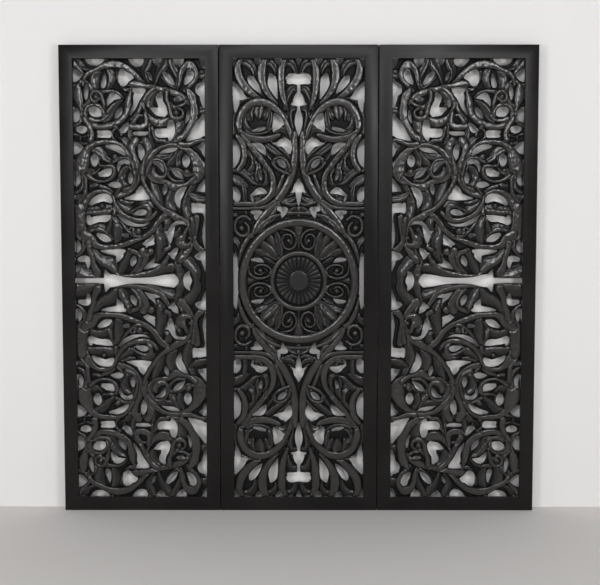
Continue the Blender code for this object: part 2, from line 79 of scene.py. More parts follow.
# the carving is drawn as strokes, by kind: (across, down, width) in mm at each place where a strand turns
# or swells; a list runs roughly from the top down, and a later stroke lies over the ones before it; the
# openings between the strands are drawn the same way
# half of a side leaf, across from its outer edge and down from its top
sideCarving = {"leaf": [
    [(-6,-6,20), (14,11,24), (30,23,13), (48,26,9), (66,20,9), (84,4,14)],
    [(66,28,14), (55,44,28), (53,58,28), (56,74,20), (66,86,12)],
    [(92,28,18), (98,42,26), (97,55,23), (92,69,15), (87,82,8)],
    [(125,104,7), (110,113,17), (96,128,27), (88,143,26), (80,158,15)],
    [(200,68,7), (187,50,11), (183,30,22), (190,14,26), (197,-8,22)],
    [(207,66,10), (212,50,14), (218,34,20), (230,16,30), (242,-6,28)],
    [(248,-6,22), (252,14,20), (260,30,20), (269,46,20), (270,60,16), (260,74,10)],
    [(308,34,14), (322,38,24), (342,38,27)],
    [(216,78,10), (203,90,18), (194,104,24), (194,116,20), (207,122,6)],
    [(310,128,16), (324,128,22), (343,127,26)],
    [(268,148,18), (270,166,30), (267,184,27), (259,200,15), (252,212,6)],
    [(149,164,14), (143,182,15), (147,202,20), (160,210,26)],
    [(196,166,18), (197,186,17), (193,204,20), (180,210,26)],
    [(114,198,8), (124,200,14), (134,210,22), (146,224,16)],
    [(196,196,12), (200,214,10), (204,226,8), (224,216,10), (240,214,10)],
    [(44,226,18), (60,231,26), (72,243,27), (82,252,18), (98,262,16)],
    [(26,280,20), (42,286,22), (55,284,12), (66,272,8)],
    [(144,272,12), (131,277,18), (123,288,23), (121,302,23), (126,316,18), (138,326,20)],
    [(112,306,10), (120,322,12), (112,338,18), (100,350,12)],
    [(12,392,20), (34,385,22), (56,384,26), (76,382,30), (94,380,23), (106,370,10)],
    [(28,438,22), (46,430,20), (61,428,24), (75,432,22), (87,442,15), (97,456,11)],
    [(100,388,12), (98,404,17), (92,420,20), (86,434,18)],
    [(104,352,10), (119,366,22), (134,378,27), (148,390,14), (160,400,8)],
    [(158,368,6), (170,364,12), (188,364,16), (200,372,14)],
    [(100,400,14), (107,416,23), (109,436,31), (108,456,24), (106,470,12)],
    [(192,250,16), (212,248,18), (230,248,18), (246,246,16), (262,236,12), (274,228,8)],
    [(264,238,16), (258,252,24), (246,264,24), (238,282,14)],
    [(276,232,12), (268,246,14), (266,260,18), (266,274,12)],
    [(198,296,14), (203,322,22), (211,345,28), (217,362,22), (228,376,10)],
    [(252,328,18), (246,350,31), (244,368,30), (254,384,16)],
    [(308,308,16), (299,328,17), (289,348,20), (285,370,27), (289,392,26), (297,412,16)],
    [(298,344,14), (312,352,22), (326,355,20), (343,356,18)],
    [(222,398,14), (235,408,24), (237,424,20), (228,436,10)],
    [(270,431,10), (263,444,20), (265,462,25)],
    [(214,412,18), (214,440,24), (219,462,31), (220,484,31), (213,504,20), (206,520,7)],
    [(278,484,16), (272,500,20), (264,516,24), (250,532,20)],
    [(-6,542,38), (12,542,40), (34,548,28), (56,548,24)],
    [(40,478,16), (52,496,22), (68,512,28), (88,520,34), (102,536,24), (118,550,12)],
    [(140,488,20), (131,508,18), (122,526,26), (114,544,18)],
    [(206,500,10), (204,514,7), (208,521,4)],
    [(262,530,22), (244,530,28), (222,538,20), (190,552,12), (160,555,12)],
    [(262,520,18), (267,538,22), (269,552,26), (268,564,12)],
    [(288,514,34), (302,530,28), (311,545,28), (312,560,20)],
], "stem": [
    [(2,10,18), (16,26,12), (26,38,11), (25,50,10), (14,62,12), (-5,70,10)],
    [(25,66,9), (29,48,12), (40,34,14), (60,25,14), (82,15,20), (105,12,22), (130,18,20), (150,32,19),
     (164,44,17), (173,53,12), (184,62,9)],
    [(12,66,14), (12,80,24), (13,96,27), (17,112,20), (22,128,14), (23,144,13), (17,158,12), (4,167,10),
     (-5,169,9)],
    [(32,56,9), (43,67,10), (47,82,12), (44,98,13), (36,111,14), (28,120,13)],
    [(60,84,13), (74,82,13), (88,81,11), (102,80,9), (116,86,9), (127,98,6)],
    [(111,32,7), (112,50,6), (119,65,6), (130,76,10), (142,77,12)],
    [(150,70,12), (145,86,11), (141,100,18), (139,116,21), (137,132,20), (125,149,19), (107,162,19),
     (84,169,19), (62,170,17), (44,162,16), (32,149,14), (30,134,14), (37,120,13), (53,115,14), (68,120,13),
     (76,134,13), (76,150,12)],
    [(84,144,12), (74,153,11), (58,155,11), (42,150,14)],
    [(226,44,6), (236,57,6), (248,67,7), (258,74,8)],
    [(266,74,8), (272,58,12), (274,40,15), (283,20,20), (297,14,26), (310,24,18), (314,40,17), (308,55,15),
     (296,68,13), (284,80,10)],
    [(135,68,4), (147,62,14), (160,62,20), (180,67,17), (202,70,15), (224,76,16), (246,81,18), (266,88,20),
     (284,99,16), (296,112,12)],
    [(204,75,14), (190,87,15), (180,103,15), (171,122,14), (161,140,13), (150,156,14)],
    [(177,112,9), (183,130,10), (194,146,15), (210,158,23), (226,160,27), (240,152,14), (250,146,12)],
    [(300,98,10), (285,111,10), (270,119,11), (256,121,14), (246,110,12)],
    [(292,78,14), (302,94,26), (307,113,22), (308,132,26), (306,153,26), (298,172,25), (284,190,21),
     (266,203,17), (248,214,12)],
    [(186,144,9), (168,142,9), (158,151,13), (152,162,16), (156,172,16)],
    [(182,134,10), (185,150,13), (184,164,17), (172,171,19), (156,171,18), (144,168,12)],
    [(158,205,22), (148,222,22), (151,242,19), (158,262,22), (163,285,25), (165,305,18)],
    [(182,205,22), (191,222,22), (189,242,19), (182,262,22), (177,285,25), (175,305,18)],
    [(110,172,10), (100,182,8), (98,196,8), (106,206,10)],
    [(106,170,8), (114,180,6), (122,192,8)],
    [(26,150,14), (37,166,15), (44,184,19), (43,203,20)],
    [(-4,188,7), (10,192,7), (22,196,6), (36,192,8)],
    [(15,194,6), (16,204,6), (10,211,6), (-4,210,6)],
    [(14,208,6), (24,213,8), (34,214,10)],
    [(200,172,10), (206,192,11), (213,205,11), (230,206,12), (242,215,14), (258,209,12)],
    [(16,294,20), (17,275,38), (21,256,40), (28,238,28), (38,222,18), (56,212,15), (85,209,15), (108,212,15),
     (122,221,16), (134,235,15), (141,250,15), (144,264,9)],
    [(142,272,8), (146,282,8), (148,290,4)],
    [(22,290,16), (25,308,14), (20,325,13), (8,336,11), (-5,339,10)],
    [(30,296,14), (29,314,12), (28,332,13), (24,350,18), (14,368,24), (6,384,26)],
    [(56,316,8), (68,322,12), (82,326,12), (96,336,10)],
    [(165,300,14), (158,316,14), (144,331,17), (126,341,19), (108,348,14), (98,354,8)],
    [(16,384,22), (26,364,22), (38,347,18), (54,336,13), (74,335,13), (91,343,13), (100,358,13), (104,376,14),
     (101,392,13)],
    [(12,376,26), (13,400,30), (14,425,31), (17,446,36)],
    [(28,448,18), (23,468,16), (20,484,13), (8,498,10), (-5,503,9)],
    [(22,446,26), (38,456,28), (50,470,22), (66,477,17), (86,478,17), (108,476,17), (134,468,17),
     (160,458,16), (182,448,16), (200,433,16), (213,414,17), (228,398,18), (246,388,14)],
    [(99,350,10), (105,370,13), (119,390,14), (140,403,14), (162,409,16), (182,408,16), (198,400,14),
     (209,388,10)],
    [(118,358,10), (136,364,12), (149,364,9)],
    [(142,388,8), (156,380,9), (171,373,11), (187,373,16), (192,388,15), (184,401,10)],
    [(114,404,7), (125,423,10), (138,437,11), (152,449,10), (166,449,10)],
    [(140,432,8), (150,424,6), (168,430,7), (184,428,6)],
    [(186,270,12), (193,250,17), (206,234,16), (226,222,12), (248,217,13), (268,219,15), (288,227,18),
     (304,241,24), (315,260,34), (320,278,42), (315,298,30), (304,312,16)],
    [(272,214,14), (286,216,14), (302,213,13), (318,206,13), (342,206,14)],
    [(190,296,14), (204,304,18), (222,308,18), (240,314,17), (256,324,24), (274,322,18), (292,314,13),
     (306,302,14)],
    [(173,300,12), (182,322,14), (194,343,14), (207,361,14), (224,378,14), (244,390,18), (262,402,23),
     (280,412,20), (292,425,16), (299,441,14), (301,462,13), (296,480,16), (284,496,20), (270,512,20)],
    [(312,403,22), (311,425,19), (308,450,15), (309,468,16), (320,483,20), (334,488,12)],
    [(300,404,12), (303,424,12), (304,446,8)],
    [(228,440,9), (237,460,7), (243,477,12), (232,485,16)],
    [(32,468,18), (37,488,16), (43,506,15), (47,526,18), (56,544,24)],
    [(146,488,14), (163,496,14), (166,514,14), (157,532,13), (143,548,13)],
    [(174,488,24), (182,500,20), (176,520,18), (164,538,15), (150,552,12)],
    [(240,500,12), (230,516,15), (216,531,16), (197,541,14), (172,548,14), (146,552,14), (120,553,12),
     (104,547,8)],
], "curl": [
    [(80,124,8), (76,106,15), (70,88,14), (57,80,12), (46,88,12), (46,101,12), (56,106,12), (66,99,10)],
    [(238,82,16), (238,100,16), (243,114,15), (246,130,17), (251,145,16), (265,150,16), (278,144,12),
     (279,131,10), (268,124,10)],
    [(66,250,6), (63,262,7), (67,269,9), (82,270,11), (98,271,13), (103,284,15), (97,298,14), (82,308,11),
     (62,309,11), (46,303,14), (34,294,16)],
    [(100,260,12), (108,254,14), (122,249,12), (138,252,13), (149,266,12), (153,284,10), (156,302,10),
     (147,322,12), (128,330,16)],
    [(300,292,12), (286,292,14), (275,282,10), (262,277,9), (246,276,11), (238,286,13), (246,300,11),
     (260,309,11), (280,308,9)],
    [(186,292,12), (190,272,16), (204,255,12), (222,256,12), (233,270,12), (236,286,13), (228,298,14),
     (212,298,22), (202,288,22), (204,276,12)],
    [(286,432,12), (280,446,16), (269,460,32), (276,472,24), (290,472,14), (297,466,8)],
], "ball": [
    [(57,94,15), (58,95,15)],
    [(262,134,16), (263,135,16)],
    [(104,246,18), (105,247,18)],
    [(70,371,14), (70,372,14)],
    [(162,436,20), (163,437,20)],
    [(288,285,20), (289,286,20)],
    [(292,454,10), (293,455,10)],
    [(193,489,22), (194,490,22)],
]}

# the openings through it
sideOpenings = [
    [(34,-3,12), (45,2,22), (58,3,24), (70,0,17), (78,-4,8)],
    [(146,-5,16), (155,2,22), (165,5,26), (172,-2,16)],
    [(214,-8,30), (214,0,23), (213,8,12), (213,14,4)],
    [(268,-8,32), (269,2,25), (271,10,13), (272,16,5)],
    [(332,-4,22), (332,8,18), (334,18,7)],
    [(-2,40,36), (7,40,25), (15,39,12), (21,38,4)],
    [(79,36,5), (78,48,12), (76,60,15), (75,65,14)],
    [(123,34,18), (127,42,29), (127,52,27), (128,62,11), (131,54,16), (138,44,22), (149,45,9)],
    [(191,34,5), (195,42,10), (198,50,6)],
    [(233,36,12), (240,44,16), (248,54,14), (256,62,6)],
    [(298,34,18), (297,42,20), (291,52,17), (285,60,7)],
    [(335,54,8), (331,64,18), (325,74,30), (330,86,20), (332,100,18), (334,116,12)],
    [(35,64,6), (33,74,11), (31,86,12), (31,95,9), (31,100,4)],
    [(85,116,3), (88,108,10), (93,100,17), (99,93,18), (109,94,13), (119,97,4)],
    [(153,76,9), (160,79,15), (170,79,16), (180,77,8), (170,84,18), (162,92,22), (159,105,15), (155,118,11),
     (150,128,8), (144,139,3)],
    [(223,86,8), (218,97,18), (221,108,16), (225,119,20), (226,130,25), (216,131,22), (206,127,13),
     (197,124,4)],
    [(231,134,18), (230,138,14)],
    [(259,100,8), (268,101,11), (276,99,6)],
    [(3,124,8), (6,136,20), (6,146,18), (2,155,8)],
    [(47,130,20), (54,132,26), (61,135,20)],
    [(122,122,5), (117,131,13), (111,140,13), (105,147,5)],
    [(292,128,4), (292,138,9), (290,150,9), (285,160,4)],
    [(332,142,10), (329,156,20), (324,170,30), (318,182,34), (308,190,24), (298,198,14), (289,205,5)],
    [(332,160,14), (332,186,16)],
    [(10,176,13), (20,177,20), (27,176,13)],
    [(61,183,8), (89,183,8), (90,193,9), (75,193,10), (61,193,8)],
    [(66,188,14), (85,188,14)],
    [(137,163,9), (131,171,16), (125,178,17), (117,178,7)],
    [(153,187,9), (165,187,11), (178,187,11), (187,185,7)],
    [(249,160,14), (248,172,21), (248,184,21), (246,196,14), (244,204,5)],
    [(240,185,22), (227,186,24), (216,186,20), (212,180,12)],
    [(-1,224,34), (7,223,26), (14,222,15), (20,222,5)],
    [(81,220,5), (92,221,12), (104,223,15), (116,229,15), (125,236,11), (131,242,4)],
    [(169,216,5), (170,226,15), (171,236,17), (171,246,12), (171,254,3)],
    [(219,237,3), (230,233,9), (242,230,12), (254,228,10), (263,225,4)],
    [(317,221,5), (326,222,16), (333,222,22), (334,236,14), (335,245,5)],
    [(51,243,10), (51,252,21), (50,261,18), (52,268,7)],
    [(111,284,3), (112,272,9), (117,263,11), (127,258,11), (137,261,10), (142,269,4)],
    [(205,261,6), (214,264,11), (221,270,13), (226,279,9), (227,285,3)],
    [(286,245,9), (286,255,20), (286,263,17), (287,271,5)],
    [(65,291,12), (75,288,18), (84,286,20), (91,280,9)],
    [(252,280,9), (261,287,15), (269,294,12), (278,302,3)],
    [(5,286,6), (8,297,12), (8,308,13), (4,319,7)],
    [(143,290,8), (143,300,14), (142,309,11)],
    [(40,320,6), (48,319,9), (57,317,5)],
    [(87,318,5), (98,317,14), (108,318,16), (116,320,7)],
    [(2,351,11), (10,348,10), (15,345,5)],
    [(170,320,3), (169,331,17), (168,342,28)],
    [(128,353,4), (144,351,12), (158,348,19), (170,346,24), (182,349,14), (190,353,4)],
    [(40,368,7), (49,359,16), (60,353,20), (72,350,20), (82,352,20), (90,359,12)],
    [(234,320,7), (231,330,13), (229,341,5)],
    [(286,324,3), (276,332,14), (268,343,20), (264,354,17), (265,366,12), (268,377,3)],
    [(314,333,4), (322,327,14), (330,318,15), (335,306,8)],
    [(326,330,12), (336,330,14)],
    [(303,367,8), (303,386,8), (312,377,24), (326,378,24), (338,380,22)],
    [(332,388,10), (334,400,6), (333,412,6), (332,430,9), (331,448,10), (332,466,8), (335,482,4)],
    [(152,393,4), (162,390,13), (173,388,16), (180,388,9)],
    [(34,401,11), (35,414,14), (47,408,18), (62,405,16), (76,404,18), (85,401,12), (90,397,4)],
    [(110,396,6), (119,405,9), (131,413,11), (145,419,10), (160,422,7), (176,421,6), (192,414,2)],
    [(148,430,4), (151,438,8), (150,445,4)],
    [(124,447,10), (131,448,12)],
    [(57,446,10), (66,451,16), (76,456,18), (87,460,8)],
    [(5,461,5), (7,472,12), (7,482,11), (3,491,5)],
    [(201,447,4), (196,458,13), (190,465,18), (180,469,12), (173,470,4)],
    [(182,477,5), (186,470,12), (199,468,8)],
    [(285,421,3), (275,415,8), (263,415,9), (253,421,10), (248,432,14), (244,444,18), (243,456,13),
     (243,467,5)],
    [(231,439,5), (240,443,12)],
    [(64,488,4), (80,490,11), (95,491,14), (110,492,18), (124,488,8)],
    [(112,499,20), (108,509,12), (104,518,3)],
    [(261,482,6), (254,491,16), (250,499,15), (252,508,4), (248,498,12), (238,495,4)],
    [(308,503,5), (318,502,18), (329,501,26), (338,502,26)],
    [(331,514,16), (333,530,8), (335,543,3)],
    [(8,510,12), (20,508,16), (28,510,16), (30,520,13), (30,529,7)],
    [(151,505,9), (148,514,16), (144,523,10)],
    [(203,506,3), (198,516,10), (192,524,14), (184,530,9), (177,535,3)],
    [(194,527,8), (204,525,9), (215,523,3)],
    [(-10,567,18), (40,567,17), (68,567,19)],
    [(75,538,5), (78,548,13), (83,560,25), (95,567,36), (112,567,28), (130,567,21), (165,567,19),
     (200,567,24), (228,567,34), (246,567,38)],
    [(240,556,12), (252,553,10), (252,572,12)],
    [(292,541,5), (287,551,14), (287,562,22), (288,572,26)],
]

# a quarter of the centre leaf, across from its edge and down from its top
centreCarving = {"leaf": [
    [(22,6,20), (37,8,24), (48,18,22), (54,31,16), (55,41,10)],
    [(84,8,20), (96,9,20), (105,19,17), (109,30,12), (109,36,8)],
    [(134,8,20), (147,9,23), (156,20,18), (160,31,13), (160,38,9)],
    [(132,126,9), (135,110,15), (139,95,19), (145,82,21), (154,73,18), (162,77,11)],
    [(152,200,8), (151,178,13), (147,157,15), (145,140,17), (149,127,17), (158,124,13), (162,129,7)],
    [(56,100,7), (40,100,11), (26,103,13), (20,110,9)],
    [(14,126,10), (5,144,14), (2,164,16), (4,186,14)],
    [(46,178,10), (33,170,20), (27,152,23), (33,134,17)],
    [(48,152,10), (44,138,21), (50,125,17)],
    [(66,148,12), (67,134,28), (70,120,24)],
    [(80,150,10), (89,137,19), (90,124,14)],
    [(86,180,10), (92,166,15), (96,150,15), (97,136,11)],
    [(34,180,10), (50,187,13), (68,187,13), (86,182,12), (97,174,9)],
    [(152,216,10), (147,199,14), (139,184,18), (127,177,20), (115,181,16), (112,191,9)],
    [(16,196,10), (30,220,14), (46,244,15), (62,266,14), (74,284,10)],
    [(88,219,18), (100,228,19), (116,240,17), (134,252,13), (150,266,8)],
    [(86,236,9), (94,248,12), (104,258,12)],
    [(44,236,10), (52,252,17), (52,270,19), (42,282,15)],
    [(6,280,16), (22,284,20), (38,296,20), (52,310,18), (66,316,10)],
    [(-6,300,26), (12,308,26), (28,318,18), (40,322,8)],
    [(78,276,9), (86,290,15), (87,306,17), (80,318,13), (70,318,7)],
    [(26,322,12), (29,338,15), (29,358,14)],
    [(54,354,10), (64,354,16), (78,350,18), (90,338,14), (94,324,8)],
    [(108,354,12), (124,360,18), (142,360,19), (156,352,13), (163,340,7)],
    [(136,348,6), (148,343,9), (158,336,6)],
    [(166,376,9), (156,380,15), (146,388,17), (140,396,9)],
    [(168,372,10), (168,386,14), (168,398,10)],
    [(116,396,10), (104,404,12), (92,414,12), (80,428,8)],
    [(-8,394,12), (6,396,13), (14,402,8)],
    [(32,384,8), (34,394,9), (38,402,8)],
    [(-8,456,20), (3,460,20), (12,470,15), (15,486,8)],
    [(116,500,16), (106,478,28), (98,462,26), (90,447,12)],
    [(112,506,16), (90,497,24), (70,490,20), (50,486,8)],
    [(108,498,18), (90,482,26), (76,470,22), (62,461,9)],
    [(122,494,16), (120,472,22), (116,456,20), (110,441,12)],
    [(104,520,8), (92,512,12), (80,507,9)],
    [(168,424,30), (168,444,20), (168,464,10), (168,484,6)],
    [(34,566,24), (50,566,14), (72,566,7), (96,566,5)],
], "stem": [
    [(24,-4,14), (14,10,19), (13,30,23), (20,52,25), (34,72,24), (53,89,18), (70,101,11)],
    [(86,-4,15), (78,10,22), (74,28,26), (74,50,25), (82,74,20), (95,94,15), (112,112,10)],
    [(136,-4,14), (128,10,19), (124,30,22), (124,60,21), (127,88,19), (133,110,14), (139,126,9)],
    [(88,104,8), (106,116,8), (124,130,8), (138,148,8)],
    [(158,222,12), (152,204,15), (146,186,16), (138,167,17), (128,149,18), (116,132,19), (100,118,20),
     (82,109,21), (62,107,21), (44,113,21), (29,126,21), (19,146,21), (15,166,20), (19,184,13)],
    [(20,182,10), (36,194,17), (56,201,20), (78,202,20), (100,198,18), (118,191,12)],
    [(22,192,12), (38,211,16), (56,233,17), (74,255,17), (92,279,16), (102,298,13)],
    [(98,209,6), (118,224,8), (138,241,9), (154,258,9), (162,272,7)],
    [(10,194,13), (24,214,17), (29,238,18), (26,260,17), (12,281,14)],
    [(159,186,14), (158,214,19), (158,244,21), (155,272,22), (148,298,22), (138,320,22), (125,342,22),
     (110,361,21), (94,380,20), (78,398,18), (64,416,17), (54,434,15), (48,450,12)],
    [(144,268,7), (130,290,11), (122,312,12), (112,334,12), (98,352,8)],
    [(84,266,10), (96,284,15), (102,304,18), (102,326,19), (95,345,20), (80,359,19), (60,366,16), (38,367,15),
     (14,367,15), (-8,367,15)],
    [(-8,379,9), (28,379,9), (62,378,10), (86,373,11), (104,360,9)],
    [(58,258,8), (62,276,9), (58,296,9), (62,308,8)],
    [(134,366,8), (148,370,10), (162,366,8)],
    [(118,370,8), (106,386,12), (94,402,13), (80,420,12), (68,438,9)],
    [(58,442,8), (68,426,9), (84,410,10), (106,399,10), (134,392,10), (168,390,10)],
    [(45,446,12), (33,461,14), (24,478,14), (16,500,11), (11,522,8)],
], "curl": [
    [(106,270,9), (106,254,12), (118,248,11), (132,253,11), (142,266,11), (146,284,10)],
    [(100,262,9), (112,276,11), (126,284,12), (142,290,10)],
    [(44,408,10), (33,400,11), (20,400,11), (8,408,11), (4,426,12), (10,442,12), (25,449,12), (38,440,11),
     (39,425,10), (30,415,9)],
    [(112,428,10), (128,432,9), (146,436,9), (159,448,9), (162,464,9), (155,479,9), (141,484,9), (129,474,9),
     (126,456,9), (134,446,8), (146,448,8), (151,460,7), (146,470,7)],
    [(38,516,8), (38,532,8), (42,547,9), (56,557,9), (76,558,9), (92,550,9), (96,536,9), (84,526,9),
     (66,524,9), (54,532,8), (56,544,8), (68,549,7), (78,544,7)],
], "ball": [
    [(70,346,11), (71,346,11)],
    [(21,429,17), (22,429,17)],
    [(142,461,14), (143,462,14)],
    [(69,538,14), (70,539,14)],
]}

# the openings through it
centreOpenings = [
    [(2,-8,26), (3,1,16), (3,9,9), (1,16,4)],
    [(63,-8,22), (63,2,17), (63,8,9)],
    [(116,-8,24), (116,2,17), (117,9,9), (118,13,4)],
    [(168,-8,20), (168,4,12), (168,12,6)],
    [(42,43,9), (47,52,19), (56,64,18), (64,75,12), (71,84,4)],
    [(96,37,8), (100,48,20), (101,60,24), (105,76,17), (110,90,9), (113,99,3)],
    [(143,47,12), (149,47,26), (159,49,27), (169,50,27)],
    [(139,58,5), (146,57,11), (154,56,10)],
    [(168,56,8), (168,84,8)],
    [(168,84,10), (167,96,22), (166,105,26)],
    [(151,112,7), (160,110,12), (169,111,12)],
    [(168,114,5), (168,130,10), (168,142,17), (168,158,20), (168,172,15), (168,184,8), (168,192,3)],
    [(107,138,5), (112,150,20), (115,160,26), (108,171,16), (104,182,4)],
    [(118,162,16), (127,162,9)],
    [(53,180,7), (66,177,11), (79,173,8)],
    [(40,141,6), (40,149,10)],
    [(2,58,5), (7,74,20), (13,87,28), (22,93,18), (34,97,5)],
    [(8,98,18), (8,114,14), (5,131,6)],
    [(49,214,5), (61,217,13), (70,222,18), (77,231,14), (83,241,3)],
    [(103,213,3), (116,213,12), (129,210,23), (138,216,24), (142,228,16), (144,238,5)],
    [(133,200,9), (134,210,20)],
    [(117,257,9), (124,263,15), (131,270,11)],
    [(1,205,6), (4,220,22), (5,238,26), (4,256,20), (0,271,8)],
    [(67,286,7), (69,296,10), (71,304,4)],
    [(44,295,6), (50,288,6)],
    [(4,328,10), (6,340,23), (9,352,18), (8,356,12)],
    [(46,345,6), (57,339,12), (67,333,17), (77,335,13), (84,338,6)],
    [(46,345,6), (48,354,7), (52,363,3)],
    [(168,302,4), (167,313,12), (165,323,20), (157,332,9), (147,340,3)],
    [(168,324,18), (168,342,15), (168,356,10), (168,371,3)],
    [(116,381,8), (127,381,15), (136,381,9), (129,389,14), (126,401,4)],
    [(117,376,8), (117,362,5)],
    [(47,388,7), (59,390,13), (71,388,7), (59,397,13), (58,407,3)],
    [(5,494,5), (4,509,11), (4,530,14), (4,570,14)],
    [(48,511,6), (57,510,11), (67,512,11), (77,517,4)],
]


# how each kind of stroke is cut, lowest kind first: mm above the board's plain front
cuts = {
    "leaf": {"floor": -4.4, "rise": 5.8, "perWidth": 0.48, "groove": 1.6},
    "stem": {"floor": -4.2, "rise": 6.2, "perWidth": 0.50, "groove": 2.0},
    "curl": {"floor": -3.6, "rise": 6.0, "perWidth": 0.55, "groove": 2.0},
    "ball": {"floor": -3.6, "rise": 7.0, "perWidth": 0.45, "groove": 1.8},
}
section = {  # heights are parts of the stroke's height, places and widths parts of its half width
    "round": 0.72, "flat": 3.6,  # curls and balls are domes, leaves and stems have flatter crowns
    "line": 0.06, "lineAt": 0.42, "lineWidth": 0.13,  # cut along one shoulder of the wider stems
    "scoop": 0.26, "scoopAt": 0.42,  # a leaf has a ridge to one side and a scoop to the other
    "vein": 0.07, "veinAt": -0.25, "veinWidth": 0.07,
}
board = {
    "low": -6.4, "high": -4.6, "fullDepth": 8.0,  # the wood swells from an opening's edge to full height
    "grooveReach": 2.6,  # how far the cut beside a strand spreads
    "fallWidth": 5.2, "fallLow": -5.4, "fallHigh": 4.5,  # strands fall away towards an opening
    "gouge": 9.0, "gougeDepth": 0.55,  # the uneven surface that the gouge leaves
    "lipGap": 0.5, "tallest": 6.0,  # the carving stays behind the frame's lip
    "reach": 10.0,  # how far from an opening its edge is felt
    "cell": 1.6, "smoothStep": 2.5,
}


def smoothRun(places):  # a Catmull-Rom curve through (across, down, width)
    run = np.array(places, dtype=float)
    run = np.vstack([2 * run[0] - run[1], run, 2 * run[-1] - run[-2]])
    pieces = []
    for before, start, end, after in zip(run[:-3], run[1:-2], run[2:-1], run[3:]):
        count = max(2, math.ceil(math.dist(start[:2], end[:2]) / board["smoothStep"]))
        t = np.linspace(0.0, 1.0, count, endpoint=False)[:, None]
        pieces.append(0.5 * (2 * start + (end - before) * t
                             + (2 * before - 5 * start + 4 * end - after) * t ** 2
                             + (3 * start - before - 3 * end + after) * t ** 3))
    pieces.append(run[-2:-1])
    return np.vstack(pieces)


def insideRun(run, across, down):  # depth inside the stroke, half its width, and how far off its middle line
    start, along = run[:-1], np.diff(run, axis=0)
    length = np.hypot(along[:, 0], along[:, 1]) + 1e-9
    x = across[:, None] - start[:, 0]
    y = down[:, None] - start[:, 1]
    t = np.clip((x * along[:, 0] + y * along[:, 1]) / length ** 2, 0.0, 1.0)
    x = x - t * along[:, 0]
    y = y - t * along[:, 1]
    half = (start[:, 2] + along[:, 2] * t) / 2
    inside = half - np.hypot(x, y)
    best = (np.arange(len(across)), inside.argmax(axis=1))
    off = (along[:, 0] * y - along[:, 1] * x)[best] / length[best[1]]
    return inside[best], np.maximum(half[best], 0.3), off


def nearRun(run, across, down, reach):
    wide = run[:, 2].max() / 2 + reach
    low, high = run.min(axis=0) - wide, run.max(axis=0) + wide
    return np.nonzero((across > low[0]) & (across < high[0]) & (down > low[1]) & (down < high[1]))[0]


def woodDepth(openings, across, down):  # how far a place lies from the nearest opening, negative inside one
    depth = np.full(across.shape, board["reach"])
    for run in openings:
        near = nearRun(run, across, down, board["reach"])
        if len(near):
            depth[near] = np.minimum(depth[near], -insideRun(run, across[near], down[near])[0])
    return depth


def swell(depth, width, low, high):  # rises steeply from an edge and levels out
    return low + (high - low) * np.sqrt(1 - (1 - np.clip(depth / width, 0, 1)) ** 2)


def gouged(across, down):
    spots = zip(across / board["gouge"], down / board["gouge"])
    return board["gougeDepth"] * np.array([noise.noise((x, y, 0.0)) for x, y in spots])


def sectionOf(kind, inside, half, off):  # 0 at the stroke's edge, about 1 at its crest
    out = np.clip(1 - inside / half, 0, 1)
    if kind in ("curl", "ball"):
        return np.clip(1 - out ** 2, 0, 1) ** section["round"]
    crown = np.sqrt(np.clip(1 - out ** section["flat"], 0, 1))
    side = np.clip(off / half, -1, 1)
    if kind == "stem":
        line = section["line"] * np.exp(-((side - section["lineAt"]) / section["lineWidth"]) ** 2)
        return crown - line * np.clip((half - 4.5) / 2, 0, 1)
    scoop = 1 - section["scoop"] + section["scoop"] * np.cos(math.pi * (side - section["scoopAt"]))
    vein = section["vein"] * np.exp(-((side - section["veinAt"]) / section["veinWidth"]) ** 2)
    return crown * (scoop - vein * np.clip((half - 5) / 3, 0, 1))


def carve(strands, across, down, depth):  # heights in mm, each stroke laid over the ones before it
    height = swell(depth, board["fullDepth"], board["low"], board["high"])
    spread = board["grooveReach"]
    for kind, run in [(kind, run) for kind in cuts for run in strands[kind]]:
        cut = cuts[kind]
        near = nearRun(run, across, down, spread + 1)
        if not len(near):
            continue
        inside, half, off = insideRun(run, across[near], down[near])
        fade = np.exp(-(np.minimum(inside, 0) / (0.5 * spread)) ** 2) + np.maximum(inside, 0) * 0.5
        below = height[near] - cut["groove"] * fade * (inside > -spread)
        rise = np.minimum(cut["rise"], cut["perWidth"] * 2 * half)
        shape = cut["floor"] + rise * sectionOf(kind, inside, half, off)
        height[near] = np.where(inside > 0, np.maximum(shape, below), below)
    height = np.minimum(height, swell(depth, board["fallWidth"], board["fallLow"], board["fallHigh"]))
    height += gouged(across, down)
    edge = np.minimum(np.minimum(across, openingWidth - across), down)
    most = np.clip(edge - board["lipGap"], 0.0, board["tallest"])
    return np.where(edge < fitGap, 0.0, np.minimum(height, most))


# the front surface, x across, y down and z high, with every place in an opening cut away
def carvedSheet(left, right, top, bottom, cell, depthAt, heightAt):
    columns = round((right - left) / cell)
    rows = round((bottom - top) / cell)
    across, down = np.meshgrid(np.linspace(left, right, columns + 1), np.linspace(top, bottom, rows + 1))
    across, down = across.ravel(), down.ravel()
    sheet = bmesh.new()
    bmesh.ops.create_grid(sheet, x_segments=columns, y_segments=rows, size=1)
    for vert, spot in zip(sheet.verts, np.c_[across, down, depthAt(across, down)].tolist()):
        vert.co = spot
    bmesh.ops.bisect_plane(sheet, geom=sheet.verts[:] + sheet.edges[:] + sheet.faces[:], dist=1e-5,
                           plane_co=(0, 0, 0), plane_no=(0, 0, 1), clear_inner=True)
    bmesh.ops.remove_doubles(sheet, verts=sheet.verts[:], dist=0.28 * cell)
    spots = np.array([vert.co[:] for vert in sheet.verts])
    for vert, height in zip(sheet.verts, heightAt(spots[:, 0], spots[:, 1]).tolist()):
        vert.co.z = height
    return sheet


